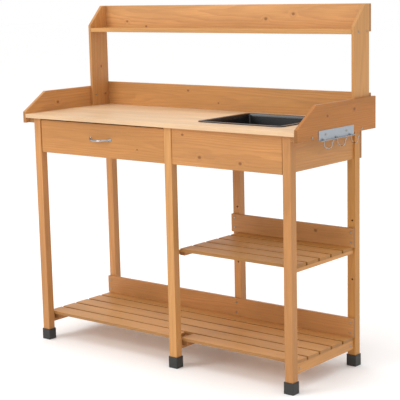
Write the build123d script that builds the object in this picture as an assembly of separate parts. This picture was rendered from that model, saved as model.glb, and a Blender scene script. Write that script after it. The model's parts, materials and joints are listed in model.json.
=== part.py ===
# A wooden potting bench: six legs with plastic foot caps, a worktop with a lift-out sink bin, a drawer,
# slatted shelves, a rack with a top shelf, and a hook plate on the right side board.
# Millimetres. X runs along the bench (right is +X), the front faces -Y, Z is up from the floor.
# The design is laid out about the middle of the side boards. The hooks stand out on the right and the
# handle at the front, so the export moves it until the origin is on the floor under the middle of it all.
import os
from build123d import *

os.makedirs("parts", exist_ok=True)

# ---- driving dimensions -------------------------------------------------------------------------
WIDTH = 1200.0            # over the two side boards
DEPTH = 450.0             # front to rear of the side boards
HEIGHT = 1209.0           # floor to the top of the rack
BOARD = 12.0              # thickness of the plain boards
EDGE = 0.8                # eased edge on every piece of timber
FIT = 0.5                 # clearance of a loose fit
ORIGIN_X, ORIGIN_Y = 19.35, -3.65        # the middle of the whole bench, hooks and handle included

# legs
LEG_X, LEG_Y = 31.0, 28.0
LEG_FRONT, LEG_REAR = -207.5, 187.0      # front faces of the front legs, rear faces of the rear legs
LEG_LEFTS = {"left": -562.5, "middle": 53.0, "right": 531.5}
CAP_HEIGHT, CAP_WALL, CAP_FLOOR = 39.0, 3.0, 4.0

# worktop
TOP_Z, TOP_THICK = 836.0, 14.0
SIDE_BOTTOM, SIDE_TOP = 804.0, 910.0     # side boards
SLOPE_Z, SLOPE_Y = 843.0, -120.0         # where a side board's sloped front corner starts and ends
SPLASH_TOP = 921.0

# rack
RACK_FRONT, RACK_REAR = 115.0, 204.0
RACK_SLOPE_Z, RACK_SLOPE_Y = 1138.0, 181.0
TOP_SHELF_Z, TOP_SHELF_THICK = 1114.0, 14.0
TOP_BOARD_BOTTOM = 1119.0

# aprons and panel
APRON_INSET = 7.0                        # apron and rail faces behind the legs' outer faces
APRON_BOTTOM = 706.0
PANEL_INSET, PANEL_BOTTOM, PANEL_GAP = 3.0, 699.5, 3.0

# shelves
SLAT_THICK, SLAT_COUNT, SLAT_GAP = 11.0, 5, 9.5
LOW_TOP, MID_TOP = 103.0, 412.0          # slats' upper faces
LOW_RAIL_BOTTOM, MID_RAIL_BOTTOM = 60.0, 389.0
LOW_BACK_TOP, MID_BACK_TOP = 168.5, 476.0
BATTEN_X, BATTEN_FROM_LEG = 22.0, 14.0
LOW_BATTEN_Z, MID_BATTEN_Z = 21.0, 15.0
HOLE_ROWS = (301.0, 501.0)               # spare shelf heights drilled in the right bay's rear legs
HOLE_R, HOLE_DEPTH, HOLE_OFFSET = 3.5, 14.0, 3.5

# sink bin
SINK_X0, SINK_X1 = 134.0, 478.0          # outer edge of the rim
SINK_Y0, SINK_Y1 = -138.0, 150.0
SINK_RIM, SINK_LIP_THICK, SINK_DEPTH, SINK_WALL = 12.0, 3.0, 108.0, 2.5
SINK_TAPER = 14.0                        # how far each wall leans in from rim to floor
SINK_CLEAR = 3.0                         # bin to the edge of the cut-out

# drawer
DRAWER_GAP, DRAWER_TOP_GAP = 2.0, 6.0
BOX_HEIGHT, BOX_DEPTH, BOX_WALL, PLY = 84.0, 318.0, 11.0, 4.0
BOX_Z0, RUNNER_Z = 716.0, 14.0
STOP_GAP, STOP_DEPTH, STOP_BOTTOM = 3.0, 18.0, 780.0
HANDLE_SPAN, HANDLE_Z = 92.0, 763.0
BOW_OUT, BOW_DROP, BOW_R, ROSE_R, ROSE_THICK = 22.0, 3.0, 3.5, 6.5, 3.0
BOW_BEND = 0.6                           # where the bow bends, as a share of half its span

# hook plate on the outer face of the right side board
PLATE_Y0, PLATE_Y1, PLATE_Z0, PLATE_Z1, PLATE_THICK = -111.0, 89.0, 797.0, 829.0, 1.5
PLATE_SCREW_Y, PLATE_SCREW_Z, PLATE_SCREW_LENGTH = (-74.0, 46.0), 815.0, 12.0
LIP_OUT = 9.0                            # folded lip along the plate's lower edge
HOOKS = {"front": (-89.0, 18.0), "middle": (-12.5, 10.0), "rear": (67.0, -5.0)}   # Y and turn of each hook
WIRE = 2.6
HOOK_R, HOOK_SHANK, HOOK_TIP, HOOK_FLARE, HOOK_HEAD_R, HOOK_OUT = 13.0, 10.0, 13.0, 5.0, 2.6, 5.5

# screws
SCREW_LENGTH, SCREW_HEAD_R, SCREW_SHANK_R = 22.0, 3.6, 1.6
SIDE_SCREW_Y, SIDE_SCREW_Z = (-145.0, 139.0), 812.0
RACK_SCREW_Y, RACK_SCREW_Z = (131.0, 183.0), 878.0
SHELF_SCREW_Y = (140.0, 192.0)
TOP_BOARD_SCREW_Z, SPLASH_SCREW_Z = (1140.0, 1188.0), (855.0, 902.0)
LOW_BOARD_SCREW_X, LOW_BOARD_SCREW_Z = (-547.0, 68.5, 549.0), (118.0, 153.0)
MID_BOARD_SCREW_X, MID_BOARD_SCREW_Z = (68.5, 553.0), (428.0, 463.0)
RAIL_BOLT_Y, RAIL_BOLT_Z = (-160.0, 139.0), 76.0

# ---- derived places ------------------------------------------------------------------------------
HALF_W, HALF_D = WIDTH / 2, DEPTH / 2
SIDE_IN = HALF_W - BOARD                 # inner faces of the side boards
TOP_UNDER = TOP_Z - TOP_THICK
FRONT_LEG_BACK = LEG_FRONT + LEG_Y       # rear face of the front legs
REAR_LEG_FRONT = LEG_REAR - LEG_Y
LEFT_IN = LEG_LEFTS["left"] + LEG_X      # inner face of the left legs
MID_L, MID_R = LEG_LEFTS["middle"], LEG_LEFTS["middle"] + LEG_X
RIGHT_IN = LEG_LEFTS["right"]
RAIL_OUT = -LEG_LEFTS["left"] - APRON_INSET
RAIL_IN = RAIL_OUT - BOARD
MID_X = (MID_L + MID_R) / 2
MID_BOARD_L, MID_BOARD_R = MID_X - BOARD / 2, MID_X + BOARD / 2   # boards in line with the middle legs
LEG_OUT = -LEG_LEFTS["left"]             # outer faces of the outer legs
REAR_FACE = RACK_REAR + BOARD            # rear face of the splash board and the top back board
LEG_ENDS = {"front": LEG_FRONT, "rear": REAR_LEG_FRONT}


def span(x0, x1, y0, y1, z0, z1):
    """A plain box between two corners."""
    return Pos((x0 + x1) / 2, (y0 + y1) / 2, (z0 + z1) / 2) * Box(x1 - x0, y1 - y0, z1 - z0)


def timber(x0, x1, y0, y1, z0, z1):
    """A sawn piece with eased edges."""
    board = span(x0, x1, y0, y1, z0, z1)
    return chamfer(board.edges(), EDGE)


def side_profile(points, x0, x1):
    """A board cut to an outline in the YZ plane, from x0 to x1, with eased long edges."""
    face = make_face(Polyline(*[(0, y, z) for y, z in points], close=True))
    board = Pos(x0, 0, 0) * extrude(face, amount=x1 - x0, dir=(1, 0, 0))
    edges = board.edges().filter_by(lambda e: abs(e.tangent_at(0).X) < 0.5)
    return chamfer(edges, EDGE)


def drill(x, y, z, r, length, axis):
    """A round cutter or shank whose middle is at (x, y, z)."""
    turn = {"x": Rot(0, 90, 0), "y": Rot(90, 0, 0), "z": Rot(0, 0, 0)}[axis]
    return Pos(x, y, z) * turn * Cylinder(r, length)


def screw(x, y, z, direction, length=SCREW_LENGTH, head_r=SCREW_HEAD_R, shank_r=SCREW_SHANK_R):
    """A pan-head screw: its head rests on the surface at (x, y, z) and its shank runs along direction."""
    head_h = head_r * 0.45
    body = Cylinder(shank_r, length, align=(Align.CENTER, Align.CENTER, Align.MIN))
    head = Pos(0, 0, -head_h) * Cylinder(head_r, head_h, align=(Align.CENTER, Align.CENTER, Align.MIN))
    head = chamfer(head.edges().group_by(Axis.Z)[0], head_h * 0.4)
    slot = Pos(0, 0, -head_h) * (Box(head_r * 1.2, 0.9, 1.2) + Box(0.9, head_r * 1.2, 1.2))
    return Plane(origin=(x, y, z), z_dir=direction) * (body + head - slot)


def holes_for(screws):
    """Cutters for the shanks of a list of (x, y, z, direction) screws."""
    pilot = Cylinder(SCREW_SHANK_R, SCREW_LENGTH, align=(Align.CENTER, Align.CENTER, Align.MIN))
    return [Plane(origin=(x, y, z), z_dir=direction) * pilot for x, y, z, direction in screws]


def cut(shape, screws):
    """A shape with the holes of a list of screws taken out."""
    for cutter in holes_for(screws):
        shape -= cutter
    return shape


NODES = {}


def keep(name, *solids):
    """Adds a node to the model: one solid, or several separate solids that share the node."""
    NODES[name] = solids


# ---- fasteners: where each set of screws goes ------------------------------------------------------
RIGHT, LEFT, FORWARD, BACK = (1, 0, 0), (-1, 0, 0), (0, -1, 0), (0, 1, 0)
SIDES = (-1, 1)
RACK_IN = SIDE_IN - BOARD
LOW_BACK_Y = REAR_LEG_FRONT - BOARD


def inward(side):
    """The direction from a side towards the middle of the bench."""
    return LEFT if side > 0 else RIGHT


def outward(side):
    return RIGHT if side > 0 else LEFT


SIDE_SCREWS = [(s * HALF_W, y, SIDE_SCREW_Z, inward(s)) for s in SIDES for y in SIDE_SCREW_Y]
RACK_SCREWS = [(s * RACK_IN, y, RACK_SCREW_Z, outward(s)) for s in SIDES for y in RACK_SCREW_Y]
SHELF_MID_Z = TOP_SHELF_Z + TOP_SHELF_THICK / 2
SHELF_SCREWS = [(s * SIDE_IN, y, SHELF_MID_Z, inward(s)) for s in SIDES for y in SHELF_SCREW_Y]
BOARD_END_X = SIDE_IN - BOARD / 2        # screws into the middle of the uprights' edges
TOP_BOARD_SCREWS = [(s * BOARD_END_X, REAR_FACE, z, FORWARD) for s in SIDES for z in TOP_BOARD_SCREW_Z]
SPLASH_SCREWS = [(s * BOARD_END_X, REAR_FACE, z, FORWARD) for s in SIDES for z in SPLASH_SCREW_Z]
LOW_BOARD_SCREWS = [(x, LOW_BACK_Y, z, BACK) for x in LOW_BOARD_SCREW_X for z in LOW_BOARD_SCREW_Z]
MID_BOARD_SCREWS = [(x, LOW_BACK_Y, z, BACK) for x in MID_BOARD_SCREW_X for z in MID_BOARD_SCREW_Z]
RAIL_BOLTS = [(s * RAIL_OUT, y, RAIL_BOLT_Z, inward(s)) for s in SIDES for y in RAIL_BOLT_Y]
PLATE_SCREWS = [(HALF_W + PLATE_THICK, y, PLATE_SCREW_Z, LEFT) for y in PLATE_SCREW_Y]


# ---- legs and feet ---------------------------------------------------------------------------------
def leg(x0, y0, spare_holes):
    post = timber(x0, x0 + LEG_X, y0, y0 + LEG_Y, CAP_FLOOR, TOP_UNDER)
    for z in spare_holes:
        post -= drill(x0 + LEG_X / 2 + HOLE_OFFSET, y0, z, HOLE_R, 2 * HOLE_DEPTH, "y")
    return post


def foot_cap(x0, y0):
    outer = span(x0 - CAP_WALL, x0 + LEG_X + CAP_WALL, y0 - CAP_WALL, y0 + LEG_Y + CAP_WALL, 0, CAP_HEIGHT)
    outer = fillet(outer.edges().filter_by(Axis.Z), 2.0)
    outer = fillet(outer.edges().group_by(Axis.Z)[0], 1.5)
    return outer - span(x0, x0 + LEG_X, y0, y0 + LEG_Y, CAP_FLOOR, CAP_HEIGHT + 1)


for side, x0 in LEG_LEFTS.items():
    for end, y0 in LEG_ENDS.items():
        spare = HOLE_ROWS if end == "rear" and side != "left" else ()
        post = leg(x0, y0, spare)
        if end == "rear":
            post = cut(post, LOW_BOARD_SCREWS + MID_BOARD_SCREWS)
        keep(f"leg_{end}_{side}", post)
keep("foot_caps", *[foot_cap(x0, y0) for x0 in LEG_LEFTS.values() for y0 in LEG_ENDS.values()])

# ---- aprons, panel and cleats ----------------------------------------------------------------------
for name, x0 in {"side_apron_left": -RAIL_OUT, "middle_apron": MID_BOARD_L, "side_apron_right": RAIL_IN}.items():
    keep(name, timber(x0, x0 + BOARD, FRONT_LEG_BACK, REAR_LEG_FRONT, APRON_BOTTOM, TOP_UNDER))
keep("back_apron", timber(-LEG_OUT, LEG_OUT, LEG_REAR, LEG_REAR + BOARD, APRON_BOTTOM, TOP_UNDER))
PANEL_Y = LEG_FRONT + PANEL_INSET
keep("front_panel", timber(MID_R, RIGHT_IN - PANEL_GAP, PANEL_Y, PANEL_Y + BOARD, PANEL_BOTTOM, TOP_UNDER))
for side, x0, x1 in (("left", -SIDE_IN, -LEG_OUT), ("right", LEG_OUT, SIDE_IN)):
    cleat = timber(x0, x1, LEG_FRONT, LEG_REAR, SIDE_BOTTOM, TOP_UNDER)
    keep(f"table_cleat_{side}", cut(cleat, SIDE_SCREWS))

# ---- worktop ---------------------------------------------------------------------------------------
tabletop = timber(-SIDE_IN, SIDE_IN, -HALF_D, REAR_FACE, TOP_UNDER, TOP_Z)
CUT_X0, CUT_X1 = SINK_X0 + SINK_RIM - SINK_CLEAR, SINK_X1 - SINK_RIM + SINK_CLEAR
CUT_Y0, CUT_Y1 = SINK_Y0 + SINK_RIM - SINK_CLEAR, SINK_Y1 - SINK_RIM + SINK_CLEAR
cut_out = span(CUT_X0, CUT_X1, CUT_Y0, CUT_Y1, TOP_UNDER - 1, TOP_Z + 1)
tabletop -= fillet(cut_out.edges().filter_by(Axis.Z), 18.0)
keep("tabletop", tabletop)

SIDE_OUTLINE = [(-HALF_D, SIDE_BOTTOM), (HALF_D, SIDE_BOTTOM), (HALF_D, SIDE_TOP),
                (SLOPE_Y, SIDE_TOP), (-HALF_D, SLOPE_Z)]
for side, x0 in (("left", -HALF_W), ("right", SIDE_IN)):
    board = side_profile(SIDE_OUTLINE, x0, x0 + BOARD)
    keep(f"side_board_{side}", cut(board, SIDE_SCREWS + RACK_SCREWS + PLATE_SCREWS))

splash = timber(-SIDE_IN, SIDE_IN, RACK_REAR, REAR_FACE, TOP_Z, SPLASH_TOP)
keep("splash_board", cut(splash, SPLASH_SCREWS))

# ---- rack ------------------------------------------------------------------------------------------
UPRIGHT_OUTLINE = [(RACK_FRONT, TOP_Z), (RACK_REAR, TOP_Z), (RACK_REAR, HEIGHT),
                   (RACK_SLOPE_Y, HEIGHT), (RACK_FRONT, RACK_SLOPE_Z)]
for side, x0 in (("left", -SIDE_IN), ("right", RACK_IN)):
    upright = side_profile(UPRIGHT_OUTLINE, x0, x0 + BOARD)
    keep(f"upright_{side}", cut(upright, RACK_SCREWS + SHELF_SCREWS + TOP_BOARD_SCREWS + SPLASH_SCREWS))

shelf = timber(-RACK_IN, RACK_IN, RACK_FRONT, RACK_REAR, TOP_SHELF_Z, TOP_SHELF_Z + TOP_SHELF_THICK)
keep("top_shelf", cut(shelf, SHELF_SCREWS))

top_board = timber(-SIDE_IN, SIDE_IN, RACK_REAR, REAR_FACE, TOP_BOARD_BOTTOM, HEIGHT)
keep("top_back_board", cut(top_board, TOP_BOARD_SCREWS))

# ---- shelves ---------------------------------------------------------------------------------------
SHELF_Y0, SHELF_Y1 = FRONT_LEG_BACK + 1.0, REAR_LEG_FRONT - 1.0
SLAT_W = (SHELF_Y1 - SHELF_Y0 - (SLAT_COUNT - 1) * SLAT_GAP) / SLAT_COUNT
BAY_GAP = 3.0                            # between a slat's end and the middle legs' faces


def slats(x0, x1, top):
    """A shelf's slats, front to rear."""
    starts = [SHELF_Y0 + i * (SLAT_W + SLAT_GAP) for i in range(SLAT_COUNT)]
    return [timber(x0, x1, y, y + SLAT_W, top - SLAT_THICK, top) for y in starts]


def rail(x0, x1, bottom, top):
    return timber(x0, x1, FRONT_LEG_BACK, REAR_LEG_FRONT, bottom, top)


def batten(x0, height, top):
    """A batten beside a rail, under the slats."""
    return timber(x0, x0 + BATTEN_X, FRONT_LEG_BACK + BATTEN_FROM_LEG, REAR_LEG_FRONT, top - height, top)


low_under, mid_under = LOW_TOP - SLAT_THICK, MID_TOP - SLAT_THICK
rails = {
    "bottom_rail_left": rail(-RAIL_OUT, -RAIL_IN, LOW_RAIL_BOTTOM, low_under),
    "bottom_rail_middle": rail(MID_BOARD_L, MID_BOARD_R, LOW_RAIL_BOTTOM, low_under),
    "bottom_rail_right": rail(RAIL_IN, RAIL_OUT, LOW_RAIL_BOTTOM, low_under),
    "middle_shelf_rail_left": rail(MID_BOARD_L, MID_BOARD_R, MID_RAIL_BOTTOM, mid_under),
    "middle_shelf_rail_right": rail(RAIL_IN, RAIL_OUT, MID_RAIL_BOTTOM, mid_under),
}
for name, shape in rails.items():
    keep(name, cut(shape, RAIL_BOLTS))

right_bay = (MID_BOARD_R, RAIL_IN - BATTEN_X)
both_bays = (-RAIL_IN, MID_BOARD_L - BATTEN_X) + right_bay
keep("bottom_shelf_battens", *[cut(batten(x, LOW_BATTEN_Z, low_under), RAIL_BOLTS) for x in both_bays])
keep("middle_shelf_battens", *[batten(x, MID_BATTEN_Z, mid_under) for x in right_bay])
# the front slat is in two parts, one each side of the middle leg, and the others run the whole length
keep("bottom_slat_1_left", slats(-RAIL_OUT, MID_L - BAY_GAP, LOW_TOP)[0])
keep("bottom_slat_1_right", slats(MID_R + BAY_GAP, RAIL_OUT, LOW_TOP)[0])
for i, slat in enumerate(slats(-RAIL_OUT, RAIL_OUT, LOW_TOP)[1:]):
    keep(f"bottom_slat_{i + 2}", slat)
keep("middle_shelf_slats", *slats(MID_R + BAY_GAP, RAIL_OUT, MID_TOP))

low_board = timber(-LEG_OUT, LEG_OUT, LOW_BACK_Y, REAR_LEG_FRONT, LOW_TOP, LOW_BACK_TOP)
keep("bottom_back_board", cut(low_board, LOW_BOARD_SCREWS))
mid_board = timber(MID_L, LEG_OUT, LOW_BACK_Y, REAR_LEG_FRONT, MID_TOP, MID_BACK_TOP)
keep("middle_back_board", cut(mid_board, MID_BOARD_SCREWS))


# ---- sink bin --------------------------------------------------------------------------------------
def tapered_block(inset, z_top, z_bottom, taper, radius):
    """A rounded rectangular block that narrows downwards, drawn from the rim's outer edge less inset."""
    cx, cy = (SINK_X0 + SINK_X1) / 2, (SINK_Y0 + SINK_Y1) / 2
    w, d = SINK_X1 - SINK_X0 - 2 * inset, SINK_Y1 - SINK_Y0 - 2 * inset
    top = Pos(cx, cy, z_top) * RectangleRounded(w, d, radius)
    bottom = Pos(cx, cy, z_bottom) * RectangleRounded(w - 2 * taper, d - 2 * taper, radius)
    return loft([bottom.face(), top.face()])


rim_under, rim_top = TOP_Z + 0.4, TOP_Z + 0.4 + SINK_LIP_THICK
floor_z = TOP_Z - SINK_DEPTH
lip = tapered_block(0, rim_top, rim_under, 0, 20)
lip = fillet(lip.edges().group_by(Axis.Z)[-1], 1.2)
bin_outer = tapered_block(SINK_RIM, rim_top, floor_z, SINK_TAPER, 14)
bin_inner = tapered_block(SINK_RIM + SINK_WALL, rim_top + 0.01, floor_z + SINK_WALL, SINK_TAPER, 12)
keep("sink_bin", lip + bin_outer - bin_inner)

# ---- drawer ----------------------------------------------------------------------------------------
FRONT_X0, FRONT_X1 = LEFT_IN + DRAWER_GAP, MID_L - DRAWER_GAP
DRAWER_TOP = TOP_UNDER - DRAWER_TOP_GAP
handle_x = (FRONT_X0 + FRONT_X1) / 2
HANDLE_SCREWS = [(handle_x + s * HANDLE_SPAN / 2, PANEL_Y + BOARD, HANDLE_Z, FORWARD) for s in (-1, 1)]
drawer_front = timber(FRONT_X0, FRONT_X1, PANEL_Y, PANEL_Y + BOARD, PANEL_BOTTOM, DRAWER_TOP)
for x, y, z, _ in HANDLE_SCREWS:
    drawer_front -= drill(x, y - BOARD / 2, z, 2.2, BOARD + 2, "y")
keep("drawer_front", drawer_front)

BOX_Z1 = BOX_Z0 + BOX_HEIGHT
BOX_Y0, BOX_Y1 = PANEL_Y + BOARD, PANEL_Y + BOARD + BOX_DEPTH
BOX_X0, BOX_X1 = LEFT_IN + 3.0, MID_L - 3.0
PLY_Z0 = BOX_Z0 + 8.0                    # underside of the drawer bottom, in its groove
PLY_LET = 5.0                            # how deep the drawer bottom sits in the grooves
ply = span(BOX_X0 + BOX_WALL - PLY_LET, BOX_X1 - BOX_WALL + PLY_LET, BOX_Y0, BOX_Y1 - 2, PLY_Z0, PLY_Z0 + PLY)
for name, x0 in (("left", BOX_X0), ("right", BOX_X1 - BOX_WALL)):
    keep(f"drawer_side_{name}", timber(x0, x0 + BOX_WALL, BOX_Y0, BOX_Y1, BOX_Z0, BOX_Z1) - ply)
back = timber(BOX_X0 + BOX_WALL, BOX_X1 - BOX_WALL, BOX_Y1 - BOX_WALL, BOX_Y1, BOX_Z0, BOX_Z1)
keep("drawer_back", back - ply)
keep("drawer_bottom", ply)

# runners under the drawer sides, fixed to the side apron and to the middle apron
RUNNER_TOP = BOX_Z0 - FIT
for name, x0, x1 in (("left", -RAIL_IN, BOX_X0 + BOX_WALL), ("right", BOX_X1 - BOX_WALL, MID_BOARD_L)):
    keep(f"drawer_runner_{name}",
         timber(x0, x1, FRONT_LEG_BACK, REAR_LEG_FRONT, RUNNER_TOP - RUNNER_Z, RUNNER_TOP))
STOP_Y0 = BOX_Y1 + STOP_GAP
keep("drawer_stop", timber(-RAIL_IN, MID_BOARD_L, STOP_Y0, STOP_Y0 + STOP_DEPTH, STOP_BOTTOM, TOP_UNDER))

# bow handle: two rosettes and a bar that arches out and droops a little
rose_y = PANEL_Y - 2.5
half = HANDLE_SPAN / 2
bow_path = Spline(
    (handle_x - half, rose_y, HANDLE_Z), (handle_x - half * BOW_BEND, rose_y - BOW_OUT * 0.72, HANDLE_Z - 1),
    (handle_x, rose_y - BOW_OUT, HANDLE_Z - BOW_DROP),
    (handle_x + half * BOW_BEND, rose_y - BOW_OUT * 0.72, HANDLE_Z - 1),
    (handle_x + half, rose_y, HANDLE_Z), tangents=[(0.3, -1, 0), (0.3, 1, 0)])
bow = sweep(Plane(origin=bow_path @ 0, z_dir=bow_path % 0) * Circle(BOW_R), path=bow_path)
for s in (-1, 1):
    rose = drill(handle_x + s * half, PANEL_Y - ROSE_THICK / 2, HANDLE_Z, ROSE_R, ROSE_THICK, "y")
    bow += chamfer(rose.edges().group_by(Axis.Y)[0], 0.8)
for x, y, z, _ in HANDLE_SCREWS:
    bow -= drill(x, PANEL_Y, z, 2.0, 8.0, "y")
keep("drawer_handle", bow)
keep("handle_screws", *[screw(*place, length=15.5, head_r=4.0, shank_r=2.0) for place in HANDLE_SCREWS])

# ---- hook plate and hooks ---------------------------------------------------------------------------
plate = span(HALF_W, HALF_W + PLATE_THICK, PLATE_Y0, PLATE_Y1, PLATE_Z0, PLATE_Z1)
plate = fillet(plate.edges().filter_by(Axis.X), 2.0)
# a folded lip along the lower edge, with a hole for each hook
plate += span(HALF_W, HALF_W + LIP_OUT, PLATE_Y0 + 2, PLATE_Y1 - 2, PLATE_Z0, PLATE_Z0 + PLATE_THICK)
HOOK_X = HALF_W + HOOK_OUT
for y, _ in HOOKS.values():
    plate -= drill(HOOK_X, y, PLATE_Z0, WIRE / 2 + 0.4, 6.0, "z")
for y in PLATE_SCREW_Y:
    plate -= drill(HALF_W, y, PLATE_SCREW_Z, 2.2, 8.0, "x")
keep("hook_plate", plate)
keep("hook_plate_screws", *[screw(*place, length=PLATE_SCREW_LENGTH) for place in PLATE_SCREWS])


def wire_hook(y, turn):
    """A J hook: a round head on the lip, a shank through it, and a bend out and up to a flared tip."""
    head_z = PLATE_Z0 + PLATE_THICK + HOOK_HEAD_R + 0.3
    bend_z = PLATE_Z0 - HOOK_SHANK
    tip_x, tip_z = 2 * HOOK_R + HOOK_FLARE, bend_z + HOOK_TIP
    shank = Line((0, 0, head_z), (0, 0, bend_z))
    bend = ThreePointArc((0, 0, bend_z), (HOOK_R, 0, bend_z - HOOK_R), (2 * HOOK_R, 0, bend_z))
    tip = Spline((2 * HOOK_R, 0, bend_z), (tip_x, 0, tip_z), tangents=[(0, 0, 1), (0.6, 0, 1)])
    path = Wire([shank, bend, tip])
    hook = sweep(Plane(origin=shank @ 0, z_dir=(0, 0, -1)) * Circle(WIRE / 2), path=path)
    hook += Pos(0, 0, head_z) * Sphere(HOOK_HEAD_R)
    hook += Pos(tip_x, 0, tip_z) * Sphere(WIRE / 2 + 0.3)
    return Pos(HOOK_X, y, 0) * Rot(0, 0, turn) * hook


for place, (y, turn) in HOOKS.items():
    keep(f"hook_{place}", wire_hook(y, turn))

# ---- screws and bolts --------------------------------------------------------------------------------
BOARD_SCREWS = (SIDE_SCREWS + RACK_SCREWS + SHELF_SCREWS + TOP_BOARD_SCREWS + SPLASH_SCREWS
                + LOW_BOARD_SCREWS + MID_BOARD_SCREWS)
keep("board_screws", *[screw(*place) for place in BOARD_SCREWS])
keep("rail_bolts", *[screw(*place) for place in RAIL_BOLTS])

for node, solids in NODES.items():
    moved = [Pos(-ORIGIN_X, -ORIGIN_Y, 0) * solid for solid in solids]
    export_step(Compound(children=moved) if len(moved) > 1 else moved[0], f"parts/{node}.step")
print(len(NODES), "nodes, slat width", round(SLAT_W, 2))
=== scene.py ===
# %% [markdown]
# # A wooden potting bench
# The bench is built from plain boards of stained fir, with a lift-out plastic bin, a drawer and a plate of
# wire hooks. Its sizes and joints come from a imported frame, which is loaded first and never changed. What
# is made here is how it looks: a finish for every board, and the pieces whose shape is softer than the
# frame's.

# %% Load the frame
import json
import random
from math import cos, pi, radians, sin

import bmesh
import bpy
from mathutils import Matrix, Vector


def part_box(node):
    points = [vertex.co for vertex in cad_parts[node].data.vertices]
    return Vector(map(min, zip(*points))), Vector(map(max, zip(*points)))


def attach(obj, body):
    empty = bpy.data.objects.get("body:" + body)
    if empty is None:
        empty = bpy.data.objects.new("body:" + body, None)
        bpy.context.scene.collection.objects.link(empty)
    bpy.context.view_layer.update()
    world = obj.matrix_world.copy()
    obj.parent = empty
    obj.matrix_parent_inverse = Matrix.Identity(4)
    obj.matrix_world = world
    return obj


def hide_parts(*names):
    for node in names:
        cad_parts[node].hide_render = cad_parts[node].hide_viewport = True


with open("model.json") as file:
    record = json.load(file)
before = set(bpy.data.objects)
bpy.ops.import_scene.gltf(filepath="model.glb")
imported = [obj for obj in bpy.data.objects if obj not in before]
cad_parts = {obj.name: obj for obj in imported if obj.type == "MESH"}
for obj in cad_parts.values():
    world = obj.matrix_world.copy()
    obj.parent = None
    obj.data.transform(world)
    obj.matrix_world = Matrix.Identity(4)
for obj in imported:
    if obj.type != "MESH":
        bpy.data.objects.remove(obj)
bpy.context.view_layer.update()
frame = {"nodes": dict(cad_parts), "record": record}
nodes = frame["nodes"]
MM = 0.001

# %% [markdown]
# ## The camera
# The view is from the front right, a little above the worktop. A long lens keeps the legs nearly upright.
# The camera's turn is built from three plain rotations, heading, tilt and roll, because they are easier to
# read than one set of combined angles.

# %% Camera
CAMERA_PLACE = Vector((2.697, -3.267, 1.285))
HEADING, TILT, ROLL = radians(39.38), radians(-9.92), radians(-1.32)
LENS = 111.5

camera = bpy.data.objects.new("bench_camera", bpy.data.cameras.new("bench_camera"))
camera.data.lens = LENS
camera.matrix_world = (
    Matrix.Translation(CAMERA_PLACE)
    @ Matrix.Rotation(HEADING, 4, "Z")
    @ Matrix.Rotation(pi / 2 + TILT, 4, "X")
    @ Matrix.Rotation(ROLL, 4, "Z")
)
bpy.context.scene.collection.objects.link(camera)
bpy.context.scene.camera = camera
bpy.context.scene.view_settings.view_transform = "Standard"

# %% [markdown]
# ## Colours and nodes
# Colours are written as sRGB hex, as a paint card gives them, and one function turns them into the linear
# values that a shader works in. One more function adds a node, sets its properties, and fills or links its
# inputs, so that each finish below reads from top to bottom in the order that the pattern is made.


# %% Helpers for finishes
def linear(hex_colour):
    """The linear colour of an sRGB hex value such as "C98F55"."""
    parts = [int(hex_colour[i:i + 2], 16) / 255 for i in (0, 2, 4)]
    return tuple(p / 12.92 if p <= 0.04045 else ((p + 0.055) / 1.055) ** 2.4 for p in parts) + (1.0,)


def between(a, b, share):
    """A colour that is share of the way from a to b."""
    return tuple(x + (y - x) * share for x, y in zip(linear(a), linear(b)))


def add(tree, kind, inputs, **properties):
    """Adds one node. Inputs are values or other nodes' outputs, by the input's name or number."""
    node = tree.nodes.new("ShaderNode" + kind)
    for key, value in properties.items():
        setattr(node, key, value)
    for key, value in inputs.items():
        if isinstance(value, bpy.types.NodeSocket):
            tree.links.new(value, node.inputs[key])
        else:
            node.inputs[key].default_value = value
    return node


def new_finish(name, **settings):
    """A material, its node tree and its shader, with fixed settings written straight on the shader."""
    material = bpy.data.materials.new(name)
    material.use_nodes = True
    shader = material.node_tree.nodes["Principled BSDF"]
    for key, value in settings.items():
        shader.inputs[key.replace("_", " ")].default_value = value
    return material, material.node_tree, shader


def paint(piece, material):
    """Puts one finish on every material slot of a piece."""
    if not piece.material_slots:
        piece.data.materials.append(material)
    for slot in piece.material_slots:
        slot.material = material


# %% [markdown]
# ## Stained fir
# The boards are plain-sawn fir, planed, stained a honey colour and lightly oiled. A tree grows in rings
# round its pith, and a board is a slice through them. So the pattern is made as the tree makes it: every
# point of a board has a distance from a pith that lies somewhere behind the board and leans a little along
# it, and each few millimetres of that distance is one ring, pale spring wood that ends in a thin line of
# darker summer wood. On a face this gives long arches, on an edge straight lines, and on an end the arcs of
# the rings. An image would give none of that on the edges.

# %% Measures of the fir
RING = 5.2            # mm between rings
WOBBLE = 7.0          # mm that the rings wander
FIBRE = 2.4           # mm, real fibres are finer and would not show, so they are drawn this coarse
FIBRE_LENGTH = 70.0   # mm along the board
WANDER_SIZE = 260, 38, 38   # mm along, across and through, over which the rings wander
CLOUD_SIZE = 420, 60, 60    # mm, the patches that took more or less stain
KNOT_REACH = 4.0      # how far a knot pushes the rings, in its own radii
KNOT_PUSH = 1.4       # how far, in rings
KNOT_DEPTH = 0.62     # how much a knot darkens the board
KNOT_STRETCH = 0.75   # below 1, a knot is longer along the grain than across it
END_GRAIN = 0.66      # brightness of an end beside a planed face
PALE_SPRING, DARK_SPRING = "CC9450", "A8662A"
PALE_SUMMER, DARK_SUMMER = "A86C2E", "7C4216"
BARE_WOOD = "DAB892"
KNOT_HEART, KNOT_EDGE = "54260C", "8A4A1C"


def scaled(tree, vector, along, across, through):
    """Stretches a board's place so that a pattern of size one has these sizes in mm."""
    return add(tree, "VectorMath", {0: vector, 1: (1 / along, 1 / across, 1 / through)},
               operation="MULTIPLY").outputs[0]


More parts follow.
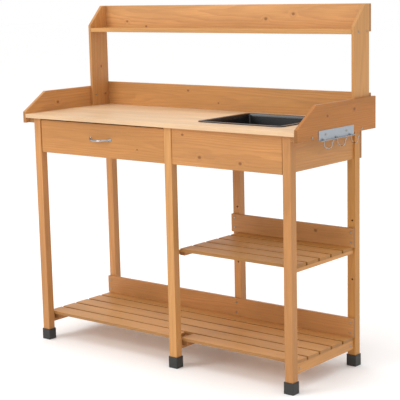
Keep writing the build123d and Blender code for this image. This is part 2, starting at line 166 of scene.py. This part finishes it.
def board_place(tree, node, grain, strip, seed):
    """A point's place in mm along, across and through a board, measured from the board's middle.

    With a strip width, the board is joined from strips, and each strip is another part of the tree."""
    low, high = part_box(node)
    size = [high[i] - low[i] for i in range(3)]
    order = grain or sorted(range(3), key=lambda i: -size[i])
    middle = [-(low[i] + high[i]) / 2 / MM for i in range(3)]
    coordinates = add(tree, "TexCoord", {})
    mapping = add(tree, "Mapping", {"Vector": coordinates.outputs["Object"], "Location": middle,
                                    "Scale": (1 / MM, 1 / MM, 1 / MM)})
    axes = add(tree, "SeparateXYZ", {0: mapping.outputs[0]}).outputs
    facing = add(tree, "VectorMath", {0: coordinates.outputs["Normal"]}, operation="ABSOLUTE").outputs[0]
    facing = add(tree, "SeparateXYZ", {0: facing}).outputs
    end, edge = facing[order[0]], facing[order[1]]
    place = add(tree, "CombineXYZ", {i: axes[order[i]] for i in range(3)}).outputs[0]
    if not strip:
        return place, end, edge, None
    width = size[order[1]] / MM
    start = width / 2 + (strip - width % strip) / 2
    shifted = add(tree, "Math", {0: axes[order[1]], 1: start}, operation="ADD")
    number = add(tree, "Math", {0: shifted.outputs[0], 1: strip}, operation="DIVIDE")
    number = add(tree, "Math", {0: number.outputs[0]}, operation="FLOOR")
    number = add(tree, "Math", {0: number.outputs[0], 1: seed}, operation="ADD")
    chance = add(tree, "TexWhiteNoise", {"W": number.outputs[0]}, noise_dimensions="1D")
    jump = add(tree, "VectorMath", {0: chance.outputs["Color"], 1: (2500.0, 60.0, 20.0), 2: place},
               operation="MULTIPLY_ADD")
    return jump.outputs[0], end, edge, chance.outputs["Value"]


def fir(node, stain_and_shade, knots=(), grain=None, strip=None, sawn=0.95, oil=0.02, bleach=0.12):
    """The fir of one board. stain_and_shade runs from 0, dark, to 1, pale: the board's colour, which on the
    side boards is set low as painted shade on their side faces. A knot is (along, across, radius) in mm.

    sawn is how bright the two narrow edges are beside the planed faces: a little darker because a saw-cut
    edge soaks up more colour, and on the slats much darker as painted shade in the gaps between them. oil is
    how much sheen lies on top, and bleach how much the colour is moved towards bare wood: rubbed back on
    most boards, and on the tabletop also painted sheen of its top face."""
    chance = random.Random(node)
    seed = chance.uniform(0, 90)
    material, tree, shader = new_finish(f"stained_fir_{node}", Specular_IOR_Level=0.28, Coat_Weight=oil,
                                        Coat_Roughness=0.35)
    place, end, edge, strip_chance = board_place(tree, node, grain, strip, seed)

    # the rings wander, most of all over a hand's width along the board
    wander = add(tree, "TexNoise", {"Vector": scaled(tree, place, *WANDER_SIZE), "W": seed, "Scale": 1.0,
                                    "Detail": 2.0}, noise_dimensions="4D")
    centred = add(tree, "VectorMath", {0: wander.outputs["Color"], 1: (0.5, 0.5, 0.5)}, operation="SUBTRACT")
    bent = add(tree, "VectorMath", {0: centred.outputs[0], 1: (0.0, 2 * WOBBLE, 2 * WOBBLE), 2: place},
               operation="MULTIPLY_ADD").outputs[0]

    # the distance from the pith, which lies behind the board and leans along it
    lean = (chance.uniform(-0.006, 0.006), 1.0, 0.0), (chance.uniform(-0.02, 0.02), 0.0, 1.0)
    pith = chance.uniform(-25, 25), chance.choice((-1, 1)) * chance.uniform(22, 60)
    sides = []
    for direction, offset in zip(lean, pith):
        side = add(tree, "VectorMath", {0: bent, 1: direction}, operation="DOT_PRODUCT")
        sides.append(add(tree, "Math", {0: side.outputs["Value"], 1: offset}, operation="ADD").outputs[0])
    spoke = add(tree, "CombineXYZ", {0: sides[0], 1: sides[1]})
    distance = add(tree, "VectorMath", {0: spoke.outputs[0]}, operation="LENGTH").outputs["Value"]

    # a knot is a branch: a dark heart that pushes the rings aside
    hearts = []
    flat = add(tree, "VectorMath", {0: place, 1: (KNOT_STRETCH, 1.0, 0.0)}, operation="MULTIPLY").outputs[0]
    for along, across, radius in knots:
        heart_place = (KNOT_STRETCH * along, across, 0.0)
        reach = add(tree, "VectorMath", {0: flat, 1: heart_place}, operation="DISTANCE").outputs["Value"]
        push = add(tree, "MapRange", {0: reach, 1: 0.0, 2: KNOT_REACH * radius, 3: KNOT_PUSH * RING, 4: 0.0},
                   interpolation_type="SMOOTHSTEP")
        distance = add(tree, "Math", {0: distance, 1: push.outputs[0]}, operation="ADD").outputs[0]
        hearts.append(add(tree, "MapRange", {0: reach, 1: 0.55 * radius, 2: 1.5 * radius, 3: 1.0, 4: 0.0},
                          interpolation_type="SMOOTHSTEP").outputs[0])

    # spring wood darkens slowly into summer wood, and the next ring starts pale at once
    ring = add(tree, "Math", {0: distance, 1: RING}, operation="DIVIDE")
    ring = add(tree, "Math", {0: ring.outputs[0]}, operation="FRACT").outputs[0]
    darkening = add(tree, "MapRange", {0: ring, 1: 0.25, 2: 0.88}, interpolation_type="SMOOTHSTEP")
    start = add(tree, "MapRange", {0: ring, 1: 0.90, 2: 1.0, 3: 1.0, 4: 0.0})
    summer = add(tree, "Math", {0: darkening.outputs[0], 1: start.outputs[0]}, operation="MULTIPLY")
    summer = summer.outputs[0]
    fibre = add(tree, "TexNoise", {"Vector": scaled(tree, place, FIBRE_LENGTH, FIBRE, FIBRE), "Scale": 1.0,
                                   "Detail": 3.0}).outputs[0]
    cloud = add(tree, "TexNoise", {"Vector": scaled(tree, place, *CLOUD_SIZE), "W": seed + 7, "Scale": 1.0,
                                   "Detail": 3.0}, noise_dimensions="4D").outputs[0]

    strength = add(tree, "MapRange", {0: cloud, 1: 0.3, 2: 0.7, 3: 0.12, 4: 0.45}).outputs[0]
    share = add(tree, "Math", {0: summer, 1: strength}, operation="MULTIPLY").outputs[0]
    colour = add(tree, "Mix", {0: share, 6: between(DARK_SPRING, PALE_SPRING, stain_and_shade),
                               7: between(DARK_SUMMER, PALE_SUMMER, stain_and_shade)}, data_type="RGBA").outputs[2]
    # the colour moved towards bare wood: rubbed back on most boards, and on the tabletop painted sheen of
    # its top face
    colour = add(tree, "Mix", {0: bleach, 6: colour, 7: linear(BARE_WOOD)}, data_type="RGBA").outputs[2]
    # clouds and fibres of stain, and each strip of a joined board took it differently
    tone = add(tree, "MapRange", {0: cloud, 1: 0.3, 2: 0.7, 3: 0.84, 4: 1.12}).outputs[0]
    streak = add(tree, "MapRange", {0: fibre, 1: 0.3, 2: 0.7, 3: 0.93, 4: 1.06}).outputs[0]
    tone = add(tree, "Math", {0: tone, 1: streak}, operation="MULTIPLY").outputs[0]
    if strip_chance:
        own = add(tree, "MapRange", {0: strip_chance, 3: 0.93, 4: 1.05}).outputs[0]
        tone = add(tree, "Math", {0: tone, 1: own}, operation="MULTIPLY").outputs[0]
    # end grain drinks much more stain than a planed face, and a sawn edge a little more; on the slats the
    # narrow edges are darkened much further, as painted shade in the gaps between slats
    for side, dimmed_to in ((end, END_GRAIN), (edge, sawn)):
        dimming = add(tree, "MapRange", {0: side, 1: 0.6, 2: 1.0, 3: 1.0, 4: dimmed_to}).outputs[0]
        tone = add(tree, "Math", {0: tone, 1: dimming}, operation="MULTIPLY").outputs[0]
    colour = add(tree, "VectorMath", {0: colour, 3: tone}, operation="SCALE").outputs[0]
    for heart in hearts:
        core = add(tree, "Mix", {0: heart, 6: linear(KNOT_EDGE), 7: linear(KNOT_HEART)}, data_type="RGBA")
        depth = add(tree, "Math", {0: heart, 1: KNOT_DEPTH}, operation="MULTIPLY").outputs[0]
        colour = add(tree, "Mix", {0: depth, 6: colour, 7: core.outputs[2]}, data_type="RGBA").outputs[2]
    tree.links.new(colour, shader.inputs["Base Color"])

    # the summer wood is harder and takes a better polish
    rough = add(tree, "MapRange", {0: summer, 3: 0.52, 4: 0.42}).outputs[0]
    tree.links.new(rough, shader.inputs["Roughness"])
    relief = add(tree, "Math", {0: summer, 1: fibre}, operation="ADD")
    bump = add(tree, "Bump", {"Height": relief.outputs[0], "Strength": 0.35, "Distance": 0.25 * MM})
    tree.links.new(bump.outputs[0], shader.inputs["Normal"])
    return material


# %% [markdown]
# ## Which board gets which fir
# Boards from one batch still differ: the posts took more stain, the worktop stayed pale, and a few boards
# have knots. The worktop is also bleached almost to bare wood as painted sheen of its top face, and the side
# boards are darker, partly from their stain and partly as painted shade on their side faces, which face away
# from the key light. The worktop is a panel joined from strips. The middle shelf's slats are one node but
# come from different boards, so they are treated as strips too, and their narrow edges are darkened as
# painted shade in the gaps between them. Each board's pattern comes from its own name, so it's the same in
# every run.

# %% Finish the timber
SLAT_PITCH = 69.2           # mm from one slat to the next
# the slats' narrow edges are made far darker than a sawn edge's stain would make them: painted shade in the
# gaps between the slats
SLAT_EDGE_SHADE, SLAT_BLEACH = 0.62, 0.1
ALONG_Y = (1, 2, 0)         # axes along, across and through, for battens whose grain runs to the rear
BATCH_SPREAD = 0.08         # how much boards of one kind differ in stain
STAINS_AND_PAINTED_LIGHT = {
    # the tabletop is bleached almost to bare wood: its pale wood, and beyond that painted sheen of its top
    # face
    "tabletop": dict(stain_and_shade=0.9, strip=89.0, oil=0.15, bleach=0.92),
    "top_back_board": dict(stain_and_shade=0.58, bleach=0.20,
                           knots=[(-470, -14, 4), (-375, -32, 4), (175, -4, 5), (290, 12, 5)]),
    "top_shelf": dict(stain_and_shade=0.85),
    "splash_board": dict(stain_and_shade=0.62, knots=[(-180, 22, 4), (-40, -18, 3)]),
    "front_panel": dict(stain_and_shade=0.40, bleach=0.10, knots=[(-175, 40, 4), (-105, -30, 5), (60, -38, 5)]),
    "drawer_front": dict(stain_and_shade=0.42, bleach=0.06, knots=[(170, -20, 3)]),
    # the side boards' low values are partly their own colour and partly painted shade on their side faces,
    # which face away from the key light
    "side_board_left": dict(stain_and_shade=0.42, knots=[(-60, 8, 5)]),
    "side_board_right": dict(stain_and_shade=0.20, bleach=0.0, knots=[(-60, 14, 4), (95, 22, 5)]),
    "upright_left": dict(stain_and_shade=0.52, knots=[(-40, 6, 4)]),
    "upright_right": dict(stain_and_shade=0.66),
    "leg_rear_right": dict(stain_and_shade=0.74, bleach=0.0),
    "leg_front_middle": dict(stain_and_shade=0.70),
    "middle_back_board": dict(stain_and_shade=0.38, knots=[(105, 10, 5)]),
    "bottom_back_board": dict(stain_and_shade=0.34),
    "back_apron": dict(stain_and_shade=0.45),
    # the middle shelf's slats also get painted shade on their narrow edges
    "middle_shelf_slats": dict(stain_and_shade=0.72, strip=SLAT_PITCH, sawn=SLAT_EDGE_SHADE, bleach=0.0),
    "bottom_shelf_battens": dict(stain_and_shade=0.35, grain=ALONG_Y),
    "middle_shelf_battens": dict(stain_and_shade=0.35, grain=ALONG_Y),
    "drawer_bottom": dict(stain_and_shade=1.0),
}
POST_STAIN, SLAT_STAIN, OTHER_STAIN = 0.42, 0.70, 0.5
timber = [part["node"] for part in frame["record"]["subparts"]
          if part["material_slot"] in ("frame_fir", "worktop_fir", "drawer_ply")]
batch = random.Random("batch")
for name in timber:
    plain = POST_STAIN if name.startswith("leg_") else SLAT_STAIN if "_slat_" in name else OTHER_STAIN
    choice = dict(stain_and_shade=plain + batch.uniform(-BATCH_SPREAD, BATCH_SPREAD))
    # the slats get painted shade on their narrow edges, for the gaps between them
    if "_slat_" in name:
        choice.update(sawn=SLAT_EDGE_SHADE, bleach=SLAT_BLEACH)
    choice.update(STAINS_AND_PAINTED_LIGHT.get(name, {}))
    paint(nodes[name], fir(name, **choice))
print(len(timber), "boards finished")

# %% [markdown]
# ## Metals
# The hook plate is zinc-plated sheet, pale grey and a little blue, the hooks are zinc-plated wire, and the
# screws are duller and warmer. All have a soft shine that the plating leaves uneven. The handle is chrome
# plate, much smoother, so it mirrors the room. A metal's colour sits in its reflection, and the plating's
# unevenness goes into the roughness.


# %% Zinc and chrome
def plated_metal(name, colour, smooth, rough, grit):
    """A plated metal whose roughness varies between two values over patches of grit mm."""
    material, tree, shader = new_finish(name, Base_Color=linear(colour), Metallic=1.0)
    place = add(tree, "TexCoord", {}).outputs["Object"]
    patches = add(tree, "TexNoise", {"Vector": place, "Scale": 1 / (grit * MM), "Detail": 4.0})
    spread = add(tree, "MapRange", {0: patches.outputs[0], 1: 0.3, 2: 0.7, 3: smooth, 4: rough})
    tree.links.new(spread.outputs[0], shader.inputs["Roughness"])
    bump = add(tree, "Bump", {"Height": patches.outputs[0], "Strength": 0.15, "Distance": 0.1 * MM})
    tree.links.new(bump.outputs[0], shader.inputs["Normal"])
    return material


zinc_plate = plated_metal("zinc_plated_sheet", "A9AEB4", 0.34, 0.52, 6.0)
zinc_wire = plated_metal("zinc_plated_wire", "A6A6A4", 0.18, 0.30, 3.0)
zinc_screw = plated_metal("zinc_plated_screws", "A39F96", 0.28, 0.45, 2.0)
chrome = plated_metal("chrome_plate", "A2A3A6", 0.08, 0.16, 9.0)
for name in ("board_screws", "rail_bolts", "hook_plate_screws", "handle_screws"):
    paint(nodes[name], zinc_screw)
for name in ("hook_front", "hook_middle", "hook_rear"):
    paint(nodes[name], zinc_wire)
paint(nodes["hook_plate"], zinc_plate)
print("metals: zinc sheet, wire and screws, chrome")

# %% [markdown]
# ## Moulded plastics
# The feet are black polypropylene caps with the dull, slightly pebbled skin of an eroded mould. The bin is
# made of the same stuff in dark grey with a smoother skin, so it shows soft highlights down its corners.


# %% Black and grey polypropylene
def moulded(name, colour, roughness, pebble, depth):
    """Moulded polypropylene with pebbles of a size in mm and a depth in mm."""
    material, tree, shader = new_finish(name, Roughness=roughness, IOR=1.49)
    place = add(tree, "TexCoord", {}).outputs["Object"]
    skin = add(tree, "TexNoise", {"Vector": place, "Scale": 1 / (pebble * MM), "Detail": 2.0})
    cloud = add(tree, "TexNoise", {"Vector": place, "Scale": 1 / (60 * MM), "Detail": 2.0})
    share = add(tree, "MapRange", {0: cloud.outputs[0], 1: 0.3, 2: 0.7, 3: 0.8, 4: 1.2}).outputs[0]
    tinted = add(tree, "VectorMath", {0: linear(colour)[:3], 3: share}, operation="SCALE").outputs[0]
    tree.links.new(tinted, shader.inputs["Base Color"])
    bump = add(tree, "Bump", {"Height": skin.outputs[0], "Strength": 0.3, "Distance": depth * MM})
    tree.links.new(bump.outputs[0], shader.inputs["Normal"])
    return material


cap_plastic = moulded("black_polypropylene", "292927", 0.55, 1.2, 0.15)
bin_plastic = moulded("dark_grey_polypropylene", "18181A", 0.26, 1.5, 0.05)
paint(nodes["foot_caps"], cap_plastic)
print("plastics: caps and bin")

# %% [markdown]
# ## The bin
# A thin moulded tray hangs in the worktop by its rim. It could be drawn as a stack of outlines, but a real
# one is one sheet pressed down from a flat rim, so it's made that way: a block the size of the rim, its
# corners rounded, its top inset and pushed down in steps to make the shoulder, the leaning walls and the
# floor. Its underside is pushed down by the same steps, one wall thickness outside.


# %% Mesh helpers
def finish_mesh(mesh, name, bm):
    """Turns a bmesh into a smooth-shaded object that sits at the origin."""
    bmesh.ops.remove_doubles(bm, verts=bm.verts, dist=0.01 * MM)
    bmesh.ops.recalc_face_normals(bm, faces=bm.faces)
    bm.to_mesh(mesh)
    bm.free()
    mesh.shade_smooth()
    mesh.set_sharp_from_angle(angle=radians(35))
    piece = bpy.data.objects.new(name, mesh)
    bpy.context.scene.collection.objects.link(piece)
    print(name, len(mesh.polygons), "faces")
    return piece


def press(bm, face, drop, lean):
    """Pushes a face down by drop and draws its outline in by lean, and returns the moved face."""
    middle = face.calc_center_median()
    across = max((v.co.x - middle.x) for v in face.verts)
    deep = max((v.co.y - middle.y) for v in face.verts)
    new = bmesh.ops.extrude_discrete_faces(bm, faces=[face])["faces"][0]
    shrink = Matrix.Diagonal((1 - lean / across, 1 - lean / deep, 1, 1))
    bmesh.ops.transform(bm, matrix=shrink, space=Matrix.Translation(-middle), verts=new.verts)
    bmesh.ops.translate(bm, vec=(0, 0, -drop), verts=new.verts)
    return new


# %% Press the bin
RIM_WIDTH, RIM_THICK, WALL = 12 * MM, 3 * MM, 2.5 * MM
RIM_CORNER, SHOULDER, FLOOR_ROUND = 20 * MM, 10 * MM, 9 * MM
STEP_DOWN, WALL_LEAN, FLOOR_STEPS = 0.6 * MM, 9 * MM, 5
low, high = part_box("sink_bin")
bm = bmesh.new()
bmesh.ops.create_cube(bm, size=1.0)
bmesh.ops.scale(bm, vec=(high[0] - low[0], high[1] - low[1], RIM_THICK), verts=bm.verts)
bmesh.ops.translate(bm, vec=((low[0] + high[0]) / 2, (low[1] + high[1]) / 2, high[2] - RIM_THICK / 2),
                    verts=bm.verts)
upright = [e for e in bm.edges if abs(e.verts[0].co.z - e.verts[1].co.z) > RIM_THICK / 2]
bmesh.ops.bevel(bm, geom=upright, offset=RIM_CORNER, segments=8, profile=0.5, affect="EDGES", material=-1)
drop = high[2] - low[2]
sides = {}
for side, sign, extra in (("inside", 1, WALL), ("outside", -1, 0)):
    sides[side] = max(bm.faces, key=lambda f: sign * f.normal.z * f.calc_area())
    bmesh.ops.inset_region(bm, faces=[sides[side]], thickness=RIM_WIDTH + extra, use_even_offset=True)
depth = {"inside": drop - WALL, "outside": drop - RIM_THICK}
for side, total in depth.items():
    face = press(bm, sides[side], SHOULDER, 1.2 * MM)
    face = press(bm, face, STEP_DOWN, 1.8 * MM)
    face = press(bm, face, total - SHOULDER - STEP_DOWN - FLOOR_ROUND, WALL_LEAN)
    for step in range(1, FLOOR_STEPS + 1):
        turn, before = step * pi / (2 * FLOOR_STEPS), (step - 1) * pi / (2 * FLOOR_STEPS)
        down, inward = sin(turn) - sin(before), cos(before) - cos(turn)
        face = press(bm, face, FLOOR_ROUND * down, FLOOR_ROUND * inward)
rim_bottom = high[2] - 4 * MM
rim_edges = [e for e in bm.edges
             if e.calc_face_angle(0) > radians(60) and max(v.co.z for v in e.verts) > rim_bottom]
bmesh.ops.bevel(bm, geom=rim_edges, offset=0.9 * MM, segments=2, profile=0.5, affect="EDGES", material=-1)
potting_bin = finish_mesh(bpy.data.meshes.new("potting_bin"), "potting_bin", bm)
paint(potting_bin, bin_plastic)
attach(potting_bin, "sink")
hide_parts("sink_bin")

# %% [markdown]
# ## The handle
# A small cast bow handle: two round feet and a bar that narrows to a neck beside each, plated with chrome.
# The bar is a ring of vertices carried along the bow and scaled at each stop. The feet are a profile turned
# once round its axis, as on a lathe.


# %% Sweep and turn helpers
def carry(bm, stops, segments=16):
    """Carries a circle along stops, each a place, a direction and a radius, and closes the ends."""
    def at(place, direction, radius):
        turn = direction.to_track_quat("Z", "X").to_matrix().to_4x4()
        return Matrix.Translation(place) @ turn @ Matrix.Scale(radius, 4)

    first = at(*stops[0])
    ring = bmesh.ops.create_circle(bm, cap_ends=True, segments=segments, radius=1.0, matrix=first)["verts"]
    edges = [e for e in bm.edges if all(v in ring for v in e.verts)]
    last = first
    for stop in stops[1:]:
        new = bmesh.ops.extrude_edge_only(bm, edges=edges)["geom"]
        ring = [g for g in new if isinstance(g, bmesh.types.BMVert)]
        edges = [g for g in new if isinstance(g, bmesh.types.BMEdge)]
        matrix = at(*stop)
        bmesh.ops.transform(bm, matrix=matrix @ last.inverted(), verts=ring)
        last = matrix
    bmesh.ops.contextual_create(bm, geom=edges)


def turned(bm, profile, centre, axis):
    """Turns a profile of (radius, height) points once round an axis through centre."""
    side = axis.orthogonal().normalized()
    points = [bm.verts.new(centre + side * r + axis * h) for r, h in profile]
    edges = [bm.edges.new(pair) for pair in zip(points, points[1:])]
    bmesh.ops.spin(bm, geom=points + edges, cent=centre, axis=axis, angle=2 * pi, steps=28, use_merge=True)


# %% Cast the handle
BOW_STOPS, BAR_RADIUS, NECK, FLARE = 28, 3.6 * MM, 1.3 * MM, 1.2 * MM
low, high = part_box("drawer_handle")
FOOT_MM, SUNK = 6.5, 1 * MM       # a foot's radius, and how far the bar's ends sink into the feet
foot_radius = FOOT_MM * MM
left_foot, right_foot = low[0] + foot_radius, high[0] - foot_radius
half = (right_foot - left_foot) / 2
foot_z = high[2] - foot_radius
bow_out = high[1] - low[1] - BAR_RADIUS - SUNK
bow_drop = 3 * MM
bm = bmesh.new()
places = []
for i in range(BOW_STOPS + 1):
    t = -1 + 2 * i / BOW_STOPS
    rise = 1 - abs(t) ** 2.6
    places.append(Vector(((left_foot + right_foot) / 2 + half * t, high[1] - SUNK - bow_out * rise,
                          foot_z - bow_drop * (1 - t * t))))
stops = []
for i, place in enumerate(places):
    t = -1 + 2 * i / BOW_STOPS
    ahead = places[min(i + 1, BOW_STOPS)] - places[max(i - 1, 0)]
    neck = NECK * max(0.0, 1 - abs(abs(t) - 0.8) / 0.25)
    stops.append((place, ahead.normalized(), BAR_RADIUS - neck + FLARE * abs(t) ** 12))
carry(bm, stops)
FOOT_PROFILE = [(0, 3.4), (3.2, 3.3), (4.4, 2.6), (5.6, 2.0), (6.3, 1.2), (FOOT_MM, 0.0), (0, 0)]
profile = [(r * MM, h * MM) for r, h in FOOT_PROFILE]
for x in (left_foot, right_foot):
    turned(bm, profile, Vector((x, high[1], foot_z)), Vector((0, -1, 0)))
bow_handle = finish_mesh(bpy.data.meshes.new("bow_handle"), "bow_handle", bm)
paint(bow_handle, chrome)
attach(bow_handle, "drawer")
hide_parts("drawer_handle")

# %% [markdown]
# ## Floor and light
# The bench stands on a pale seamless floor. One large soft light from the front left shapes it, a softer one
# from above lifts the worktop and the slats, and a weak one from the right keeps the side from going dark.
# Light from all round, as in a white room, does the rest.

# %% Floor
FLOOR_SIZE = 30.0
bm = bmesh.new()
bmesh.ops.create_grid(bm, x_segments=2, y_segments=2, size=FLOOR_SIZE)
floor_mesh = bpy.data.meshes.new("studio_floor")
bm.to_mesh(floor_mesh)
bm.free()
studio_floor = bpy.data.objects.new("studio_floor", floor_mesh)
bpy.context.scene.collection.objects.link(studio_floor)
floor_paper, _, _ = new_finish("white_floor_paper", Base_Color=linear("FFFFFF"), Roughness=0.9)
paint(studio_floor, floor_paper)

# %% Lights
WORLD_STRENGTH = 1.0
world = bpy.data.worlds.new("white_room")
world.use_nodes = True
world.node_tree.nodes["Background"].inputs[0].default_value = linear("FFFFFF")
world.node_tree.nodes["Background"].inputs[1].default_value = WORLD_STRENGTH
bpy.context.scene.world = world


def softbox(name, place, target, size, power):
    """A square area light that faces a target."""
    lamp = bpy.data.objects.new(name, bpy.data.lights.new(name, "AREA"))
    lamp.data.size = size
    lamp.data.energy = power
    lamp.location = place
    lamp.rotation_euler = (Vector(target) - Vector(place)).to_track_quat("-Z", "Y").to_euler()
    bpy.context.scene.collection.objects.link(lamp)


BENCH_MIDDLE = (0.0, 0.0, 0.6)
softbox("key_light", (-2.2, -4.2, 3.0), BENCH_MIDDLE, 2.2, 84)
softbox("top_light", (0.3, -0.6, 4.2), BENCH_MIDDLE, 3.0, 40)
softbox("side_fill", (4.5, -1.0, 1.8), BENCH_MIDDLE, 2.5, 2)
print("lights placed")
